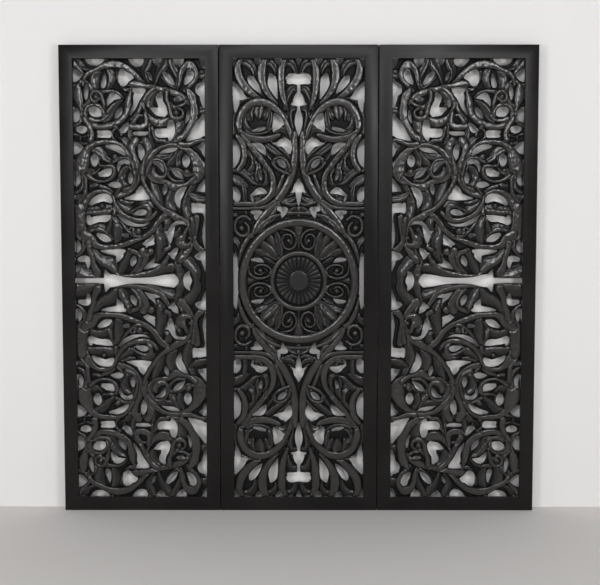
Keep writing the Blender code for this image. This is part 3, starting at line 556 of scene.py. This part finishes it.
def mirrorSheet(sheet, axis, place):  # adds the other half of a sheet that ends on the line at place
    for vert in sheet.verts:
        vert.co[axis] -= place
    parts = sheet.verts[:] + sheet.edges[:] + sheet.faces[:]
    bmesh.ops.mirror(sheet, geom=parts, matrix=Matrix.Identity(4), merge_dist=0.02, axis="XY"[axis])
    for vert in sheet.verts:
        vert.co[axis] += place


def backed(sheet):  # walls down to the board's back, and the back itself
    loose = [edge for edge in sheet.edges if not edge.link_faces]
    bmesh.ops.delete(sheet, geom=loose, context="EDGES")
    while True:  # no two openings may meet in a single corner
        pinched = [vert for vert in sheet.verts if sum(edge.is_boundary for edge in vert.link_edges) != 2
                   and vert.is_boundary or not vert.link_faces]
        if not pinched:
            break
        bmesh.ops.delete(sheet, geom=pinched, context="VERTS")
    rim = [edge for edge in sheet.edges if edge.is_boundary]
    grown = bmesh.ops.extrude_edge_only(sheet, edges=rim)["geom"]
    foot = {item for item in grown if isinstance(item, bmesh.types.BMVert)}
    for vert in foot:
        vert.co.z = (boardFront - boardBack) / mm
    ring = [item for item in grown if isinstance(item, bmesh.types.BMEdge) and foot.issuperset(item.verts)]
    bmesh.ops.triangle_fill(sheet, edges=ring, use_beauty=True, normal=(0, 0, -1))


def stoodUp(sheet, name, leaf):  # from (across, down, high) in mm to the board's place in its leaf
    left, top = cornerOf(f"{leaf}_left_stile", 1).x, cornerOf(f"{leaf}_top_rail", 0).z
    place = Matrix(((mm, 0, 0, left), (0, 0, -mm, boardFront), (0, -mm, 0, top), (0, 0, 0, 1)))
    bmesh.ops.transform(sheet, matrix=place, verts=sheet.verts[:])
    bmesh.ops.recalc_face_normals(sheet, faces=sheet.faces[:])
    mesh = bpy.data.meshes.new(name)
    sheet.to_mesh(mesh)
    sheet.free()
    return mesh


def mirrored(mesh, name, axis, place):  # a copy on the other side of a plane
    copy = mesh.copy()
    copy.name = name
    flip = Matrix.Identity(4)
    flip[axis][axis] = -1
    flip[axis][3] = 2 * place
    copy.transform(flip)
    copy.flip_normals()
    return copy


def addPiece(mesh, finishes, nodes):
    piece = bpy.data.objects.new(mesh.name, mesh)
    bpy.context.scene.collection.objects.link(piece)
    for finish in finishes:
        mesh.materials.append(finish)
    mesh.shade_smooth()
    mesh.set_sharp_from_angle(angle=math.radians(58))
    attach(piece, "root")
    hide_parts(*nodes)


def addCarving(mesh, finishes, node):
    spots = np.empty(len(mesh.vertices) * 3)
    mesh.vertices.foreach_get("co", spots)
    height = (boardFront - spots[1::3]) / mm
    relief = np.clip((height + 6) / 9, 0, 1)  # 0 at the walls and deepest cuts, 1 at the highest crests
    mesh.attributes.new("relief", "FLOAT", "POINT").data.foreach_set("value", relief)
    for face in mesh.polygons:  # the back is plainly painted
        face.material_index = int(face.normal.y > 0.9 and abs(face.center.y - boardBack) < 0.1 * mm)
    addPiece(mesh, finishes, [node])


# the side leaves: one carved half, turned over for the other three
def sideDepth(across, down):
    border = np.maximum(np.maximum(-across, across - openingWidth), -down) - borderStart
    return np.maximum(woodDepth(sideOpeningRuns, across, down), border)


def sideHeight(across, down):
    return carve(sideStrands, across, down, woodDepth(sideOpeningRuns, across, down))


def makeSideBoards(finishes):
    sheet = carvedSheet(-tongue, openingWidth + tongue, -tongue, halfHeight - fitGap / 2, board["cell"],
                        sideDepth, sideHeight)
    backed(sheet)
    upper = stoodUp(sheet, "leftUpperCarving", "left")
    lower = mirrored(upper, "leftLowerCarving", 2, middleHeight)
    addCarving(mirrored(upper, "rightUpperCarving", 0, 0.0), finishes, "right_upper_carving")
    addCarving(mirrored(lower, "rightLowerCarving", 0, 0.0), finishes, "right_lower_carving")
    addCarving(upper, finishes, "left_upper_carving")
    addCarving(lower, finishes, "left_lower_carving")
    print("side carvings made,", len(upper.polygons), "faces each")


# the centre leaf: a half carving with its mirrored half, and the oval medallion between them
medallion = {
    "squeeze": 0.956,  # narrower than high
    "ringRadius": 152.0, "ringWidth": 24.0, "ringSteps": 120, "edge": 165.5,
    "rimRadius": 71.6, "rimWidth": 14.6, "rimFloor": -3.6, "rimRise": 6.5,
    "petals": 28, "petalStart": 29.0, "petalEnd": 62.0, "petalFloor": -4.5, "petalRise": 4.0,
    "hubRadius": 27.0, "hubFloor": -3.0, "hubRise": 2.2, "trench": 0.8,
    "cell": 1.2,
}


def fromMiddle(across, down):
    return np.hypot((across - halfWidth) / medallion["squeeze"], down - halfHeight)


def quarterPlace(across, down):  # any place on the centre leaf, folded into its upper left quarter
    return halfWidth - np.abs(across - halfWidth), halfHeight - np.abs(down - halfHeight)


def centreWood(across, down):
    x, y = quarterPlace(across, down)
    return np.maximum(woodDepth(centreOpeningRuns, x, y), np.maximum(-x, -y) - borderStart)


def centreDepth(across, down):
    return np.minimum(centreWood(across, down), fromMiddle(across, down) - medallion["edge"] - fitGap)


def medallionDepth(across, down):
    return np.minimum(centreWood(across, down), medallion["edge"] - fromMiddle(across, down))


def centreHeight(across, down):
    x, y = quarterPlace(across, down)
    return carve(centreStrands, x, y, woodDepth(centreOpeningRuns, x, y))


def rosetteHeight(across, down):  # the hub, the petals and the trench round them
    start, end = medallion["petalStart"], medallion["petalEnd"]
    radius = fromMiddle(across, down)
    turn = np.arctan2(down - halfHeight, (across - halfWidth) / medallion["squeeze"])
    side = turn / math.tau * medallion["petals"]
    side = np.abs(side - np.round(side)) * 2
    along = np.clip((radius - start) / (end - start), 0, 1)
    petal = np.sqrt(np.clip(1 - side ** 2, 0, 1)) * (0.35 + 0.65 * along)  # wider and higher outwards
    petal = petal * np.sqrt(np.clip(1 - along ** 8, 0, 1))
    petal = medallion["petalFloor"] + medallion["petalRise"] * petal
    hub = np.sqrt(np.clip(1 - (radius / medallion["hubRadius"]) ** 6, 0, 1))
    hub = medallion["hubFloor"] + medallion["hubRise"] * hub
    rosette = np.where(radius < medallion["hubRadius"], hub, petal)
    return np.where(radius > end, medallion["petalFloor"] - medallion["trench"], rosette)


def medallionHeight(across, down):
    radius = fromMiddle(across, down)
    x, y = quarterPlace(across, down)
    height = np.where(radius < medallion["rimRadius"], rosetteHeight(x, y), centreHeight(x, y))
    rim = 1 - ((radius - medallion["rimRadius"]) / (medallion["rimWidth"] / 2)) ** 2
    rise = medallion["rimFloor"] + medallion["rimRise"] * np.sqrt(np.clip(rim, 0, 1))
    return np.maximum(height, np.where(rim > 0, rise, -np.inf))


def ringRun():  # the ring is one more stroke, round the middle of the leaf
    radius, turn = medallion["ringRadius"], np.linspace(0, math.tau, medallion["ringSteps"] + 1)
    return np.c_[halfWidth + medallion["squeeze"] * radius * np.cos(turn), halfHeight + radius * np.sin(turn),
                 np.full(len(turn), medallion["ringWidth"])]


def makeCentreBoards(finishes):
    sheet = carvedSheet(-tongue, halfWidth, -tongue, halfHeight - fitGap / 2, board["cell"],
                        centreDepth, centreHeight)
    mirrorSheet(sheet, 0, halfWidth)
    backed(sheet)
    upper = stoodUp(sheet, "centreUpperCarving", "centre")
    addCarving(mirrored(upper, "centreLowerCarving", 2, middleHeight), finishes, "centre_carving")
    addCarving(upper, finishes, "centre_carving")
    edge = medallion["edge"] + 2
    sheet = carvedSheet(halfWidth - edge, halfWidth, halfHeight - edge, halfHeight, medallion["cell"],
                        medallionDepth, medallionHeight)
    mirrorSheet(sheet, 0, halfWidth)
    mirrorSheet(sheet, 1, halfHeight)
    backed(sheet)
    disc = stoodUp(sheet, "medallion", "centre")
    addCarving(disc, finishes, "centre_carving")
    print("centre carvings made,", len(upper.polygons), "faces each, medallion", len(disc.polygons))


# the three plain frames
frameShape = {"lip": 5.5, "rebate": 7.5, "round": 1.5, "segments": 3}


def pulled(shape, faces, move, keep=False):  # extrudes a patch of faces and moves its new corners
    grown = bmesh.ops.extrude_face_region(shape, geom=faces)["geom"]
    if not keep:
        bmesh.ops.delete(shape, geom=faces, context="FACES")
    for vert in grown:
        if isinstance(vert, bmesh.types.BMVert):
            vert.co += move(vert.co)
    return [face for face in grown if isinstance(face, bmesh.types.BMFace)]


def makeFrame(leaf, finishes):
    low = Vector((cornerOf(f"{leaf}_left_stile", 0).x, 0, cornerOf(f"{leaf}_bottom_rail", 0).z))
    high = Vector((cornerOf(f"{leaf}_right_stile", 1).x, 0, cornerOf(f"{leaf}_top_rail", 1).z))
    back = cornerOf(f"{leaf}_top_rail", 1).y
    depth = back - cornerOf(f"{leaf}_top_rail", 0).y
    face = cornerOf(f"{leaf}_left_stile", 1).x - low.x
    lip = frameShape["lip"] * mm
    rebate = frameShape["rebate"] * mm
    half = (high - low) / 2

    def inward(place):
        return Vector((-math.copysign(rebate, place.x), -math.copysign(rebate, place.y), 0))

    outline = Matrix.Diagonal((half.x, half.z, 1, 1))
    shape = bmesh.new()
    bmesh.ops.create_grid(shape, x_segments=1, y_segments=1, size=1, matrix=outline)
    hole = shape.faces[:]
    band = bmesh.ops.inset_region(shape, faces=hole, thickness=face - rebate,
                                  use_boundary=True, use_even_offset=True)["faces"]
    bmesh.ops.delete(shape, geom=hole, context="FACES")
    band = pulled(shape, band, lambda place: Vector((0, 0, depth - lip)), keep=True)
    pulled(shape, band, lambda place: Vector((0, 0, lip)))
    inside = []  # the lip's edge round the opening
    for side in shape.faces:
        spot = side.calc_center_median()
        if depth - lip < spot.z < depth and abs(spot.x) < half.x - mm and abs(spot.y) < half.z - mm:
            inside.append(side)
    pulled(shape, inside, inward)

    def isEdge(edge, farIn, level):  # along the outline so far in, at this depth or from front to back
        first, second = (vert.co for vert in edge.verts)
        onX = [abs(abs(place.x) - half.x + farIn) < 0.1 * mm for place in (first, second)]
        onY = [abs(abs(place.y) - half.z + farIn) < 0.1 * mm for place in (first, second)]
        if level is None:
            return all(onX) and all(onY) and abs(first.z - second.z) > mm
        return (all(onX) or all(onY)) and abs(first.z - level) + abs(second.z - level) < 0.1 * mm

    eased = [edge for edge in shape.edges
             if isEdge(edge, 0, None) or isEdge(edge, 0, depth) or isEdge(edge, face, depth)]
    bmesh.ops.bevel(shape, geom=eased, offset=frameShape["round"] * mm, segments=frameShape["segments"],
                    affect="EDGES", profile=0.5, material=-1)
    middle = (low + high) / 2
    middle.y = back
    place = Matrix.Translation(middle) @ Matrix.Rotation(math.radians(90), 4, "X")
    bmesh.ops.transform(shape, matrix=place, verts=shape.verts[:])
    bmesh.ops.recalc_face_normals(shape, faces=shape.faces[:])
    for side in shape.faces:  # the rails' grain runs across, and faces right on a mitre go with the stiles
        spot = side.calc_center_median() - middle
        side.material_index = int(half.z - abs(spot.z) < half.x - abs(spot.x) - 0.01 * mm)
    mesh = bpy.data.meshes.new(f"{leaf}Frame")
    shape.to_mesh(mesh)
    shape.free()
    print(leaf, "frame made,", len(mesh.polygons), "faces")
    nodes = [f"{leaf}_{part}" for part in ("left_stile", "right_stile", "top_rail", "bottom_rail")]
    addPiece(mesh, finishes, nodes)


# finishes
class Wire:  # a shader socket that can be added, subtracted and multiplied
    def __init__(self, tree, socket):
        self.tree = tree
        self.socket = socket

    def maths(self, operation, first, second):
        node = self.tree.nodes.new("ShaderNodeMath")
        node.operation = operation
        for entry, value in zip(node.inputs, (first, second)):
            feed(self.tree, entry, value)
        return Wire(self.tree, node.outputs[0])

    def __add__(self, other):
        return self.maths("ADD", self, other)

    def __sub__(self, other):
        return self.maths("SUBTRACT", self, other)

    def __rsub__(self, other):
        return self.maths("SUBTRACT", other, self)

    def __mul__(self, other):
        return self.maths("MULTIPLY", self, other)

    __radd__ = __add__
    __rmul__ = __mul__


def feed(tree, entry, value):
    if isinstance(value, Wire):
        tree.links.new(value.socket, entry)
    else:
        entry.default_value = value


class Finish:  # one material: node() adds any node and returns the output asked for
    def __init__(self, name):
        self.material = bpy.data.materials.new(name)
        self.material.use_nodes = True
        self.tree = self.material.node_tree
        self.shader = self.tree.nodes["Principled BSDF"]

    def node(self, kind, output, inputs=(), **settings):
        made = self.tree.nodes.new("ShaderNode" + kind)
        for setting, value in settings.items():
            setattr(made, setting, value)
        for entry, value in dict(inputs).items():
            feed(self.tree, made.inputs[entry], value)
        return Wire(self.tree, made.outputs[output])

    def set(self, **values):
        for entry, value in values.items():
            feed(self.tree, self.shader.inputs[entry.replace("_", " ")], value)
        return self.material

    def noise(self, place, scale, detail=3.0):
        return self.node("TexNoise", "Fac", {"Vector": place, "Scale": scale, "Detail": detail})

    def blend(self, amount, low, high):  # 6 and 7 are the colours of a Mix node, 2 is their mixture
        low, high = (end if isinstance(end, Wire) else (*end, 1) for end in (low, high))
        return self.node("Mix", 2, {0: amount, 6: low, 7: high}, data_type="RGBA")

    def levels(self, value, low, high, newLow=0.0, newHigh=1.0):
        return self.node("MapRange", "Result", {"Value": value, "From Min": low, "From Max": high,
                                                "To Min": newLow, "To Max": newHigh})


blackPaint = {
    # the lighter crest colour is partly worn paint and partly a painted highlight where the crests face the
    # lamps
    # the near-black colour is painted shade for the cuts and the falling sides of the strands
    "carved": (0.016, 0.0147, 0.014), "recessShade": (0.001, 0.0009, 0.0008), "wornAndLit": (0.030, 0.0277, 0.0266),
    "plain": (0.010, 0.0093, 0.009), "plainPatch": (0.014, 0.0131, 0.0127),
    "carvedRoughness": (0.36, 0.50), "carvedCoat": (0.85, 0.4), "plainRoughness": (0.30, 0.38),
    "patchScale": 26.0, "facetScale": 75.0, "toolScale": 420.0, "plainPatchScale": 7.0, "fineScale": 900.0,
    "along": 12, "acrossGrain": 260,  # the grain's scale, long one way and fine the other two
}


def carvedPaint():
    finish = Finish("carvedBlackPaint")
    place = finish.node("TexCoord", "Object")
    relief = finish.node("Attribute", "Fac", attribute_name="relief")
    patches = finish.noise(place, blackPaint["patchScale"])
    facets = finish.noise(place, blackPaint["facetScale"], 1.0)  # the flats that a gouge leaves
    tool = finish.noise(place, blackPaint["toolScale"], 4.0)
    crest = finish.levels(relief + 0.25 * (patches - 0.5), 0.70, 0.98)
    hollow = finish.levels(relief, 0.30, 0.66)
    # the low places are painted near-black: painted shade in the cuts and beside the strands
    body = finish.blend(hollow, blackPaint["recessShade"], blackPaint["carved"])
    # the highest crests are painted lighter: partly worn paint, partly a painted highlight
    colour = finish.blend(crest, body, blackPaint["wornAndLit"])
    smooth, dull = blackPaint["carvedRoughness"]
    rough = finish.levels(patches, 0.3, 0.7, smooth, dull) + 0.3 * (1.0 - hollow)
    glossy, rubbed = blackPaint["carvedCoat"]
    coat = hollow * finish.levels(facets, 0.3, 0.7, rubbed, glossy)
    bump = finish.node("Bump", "Normal", {"Strength": 0.5, "Distance": 0.001, "Height": facets + 0.15 * tool})
    return finish.set(Base_Color=colour, Roughness=rough, Normal=bump, Coat_Weight=coat, Coat_Roughness=0.18,
                      Specular_IOR_Level=0.3)


def plainPaint(name, stretch):
    finish = Finish(name)
    place = finish.node("TexCoord", "Object")
    grain = finish.noise(finish.node("Mapping", "Vector", {"Vector": place, "Scale": stretch}), 1.0, 5.0)
    patches = finish.noise(place, blackPaint["plainPatchScale"])
    fine = finish.noise(place, blackPaint["fineScale"], 2.0)
    colour = finish.blend(finish.levels(patches, 0.35, 0.7), blackPaint["plain"], blackPaint["plainPatch"])
    smooth, dull = blackPaint["plainRoughness"]
    rough = finish.levels(patches + 0.4 * (grain - 0.5), 0.3, 0.7, smooth, dull)
    bump = finish.node("Bump", "Normal", {"Strength": 0.1, "Distance": 0.0004, "Height": grain + 0.3 * fine})
    return finish.set(Base_Color=colour, Roughness=rough, Normal=bump, Specular_IOR_Level=0.16)


# the room: a pale wall close behind the panel, a pale floor under it, soft light from above and both sides
room = {
    "wall": (0.80, 0.795, 0.79), "floor": (0.74, 0.72, 0.70),
    "wallGap": 0.006, "floorGap": 0.0005, "size": 6.0,
    "cameraPlace": (0.0078, -2.168, -0.4933), "cameraTilt": 3.177, "cameraTurn": -0.115, "lens": 50.0,
    "aim": (0, 0, -0.6),
    "lights": {  # for the gloss only, the colour only or both, then place, size and power
        "frontTop": ("both", (0.0, -3.0, 1.5), (1.8, 0.5), 36),
        "glintRight": ("gloss", (0.9, -2.5, 0.5), (0.3, 0.9), 20),
        "glintLeft": ("gloss", (-0.9, -2.5, 0.3), (0.3, 0.9), 17),
        "leftFill": ("colour", (-2.4, -3.0, -0.9), (0.8, 2.0), 59),
        "rightFill": ("colour", (2.4, -3.0, -0.9), (0.8, 2.0), 58),
        "behind": ("gloss", (0.0, 2.6, -0.8), (2.4, 0.7), 75),
    },
    "fillTint": (1.0, 0.975, 0.96), "sky": (0.95, 0.96, 1.0), "skyStrength": 0.3,
}


def stagePlane(name, place, turn):
    shape = bmesh.new()
    bmesh.ops.create_grid(shape, x_segments=1, y_segments=1, size=room["size"] / 2,
                          matrix=Matrix.Translation(place) @ Matrix.Rotation(turn, 4, "X"))
    mesh = bpy.data.meshes.new(name)
    shape.to_mesh(mesh)
    shape.free()
    plane = bpy.data.objects.new(name, mesh)
    bpy.context.scene.collection.objects.link(plane)
    finish = Finish(name)
    mesh.materials.append(finish.set(Base_Color=(*room[name], 1), Roughness=0.9, Specular_IOR_Level=0.0))
    return plane, finish


def addLight(name, use, place, size, power):
    lamp = bpy.data.lights.new(name, "AREA")
    lamp.shape = "RECTANGLE"
    lamp.size, lamp.size_y = size
    lamp.energy = power
    if use == "colour":
        lamp.color = room["fillTint"]
    item = bpy.data.objects.new(name, lamp)
    item.location = place
    item.rotation_euler = (Vector(room["aim"]) - item.location).to_track_quat("-Z", "Y").to_euler()
    item.visible_camera = False
    item.visible_glossy = use != "colour"
    item.visible_diffuse = use != "gloss"
    bpy.context.scene.collection.objects.link(item)


def makeRoom():
    low, high = cadBox
    stagePlane("floor", (0, 0, low.z - room["floorGap"]), 0)
    place = (0, high.y + room["wallGap"], low.z + room["size"] / 2)
    plane, wall = stagePlane("wall", place, math.radians(90))
    plane.visible_shadow = False
    behind = wall.node("NewGeometry", "Backfacing")  # open from behind, so that the back can be seen
    clear = wall.node("BsdfTransparent", "BSDF")
    painted = Wire(wall.tree, wall.shader.outputs[0])
    shown = wall.node("MixShader", "Shader", {0: behind, 1: painted, 2: clear})
    wall.tree.links.new(shown.socket, wall.tree.nodes["Material Output"].inputs["Surface"])
    for name, settings in room["lights"].items():
        addLight(name, *settings)
    world = bpy.data.worlds.new("room")
    world.use_nodes = True
    sky = world.node_tree.nodes["Background"]
    sky.inputs["Color"].default_value = (*room["sky"], 1)
    sky.inputs["Strength"].default_value = room["skyStrength"]
    world.cycles_visibility.glossy = False
    bpy.context.scene.world = world
    view = bpy.data.cameras.new("camera")
    view.lens = room["lens"]
    camera = bpy.data.objects.new("camera", view)
    camera.location = room["cameraPlace"]
    camera.rotation_euler = (math.radians(90 - room["cameraTilt"]), 0, math.radians(-room["cameraTurn"]))
    bpy.context.scene.collection.objects.link(camera)
    bpy.context.scene.camera = camera
    bpy.context.scene.view_settings.view_transform = "Standard"
    print("room made,", len(room["lights"]), "lights")


def smoothStrands(drawn):
    return {kind: [smoothRun(places) for places in strokes] for kind, strokes in drawn.items()}


sideStrands = smoothStrands(sideCarving)
sideOpeningRuns = [smoothRun(places) for places in sideOpenings]
centreStrands = smoothStrands(centreCarving)
centreStrands["curl"].append(ringRun())
centreOpeningRuns = [smoothRun(places) for places in centreOpenings]
carved = carvedPaint()
fine, long = blackPaint["acrossGrain"], blackPaint["along"]
plain = [plainPaint("stileBlackPaint", (fine, fine, long)), plainPaint("railBlackPaint", (long, fine, fine))]
makeSideBoards([carved, plain[0]])
makeCentreBoards([carved, plain[0]])
for leaf in ("left", "centre", "right"):
    makeFrame(leaf, plain)
makeRoom()
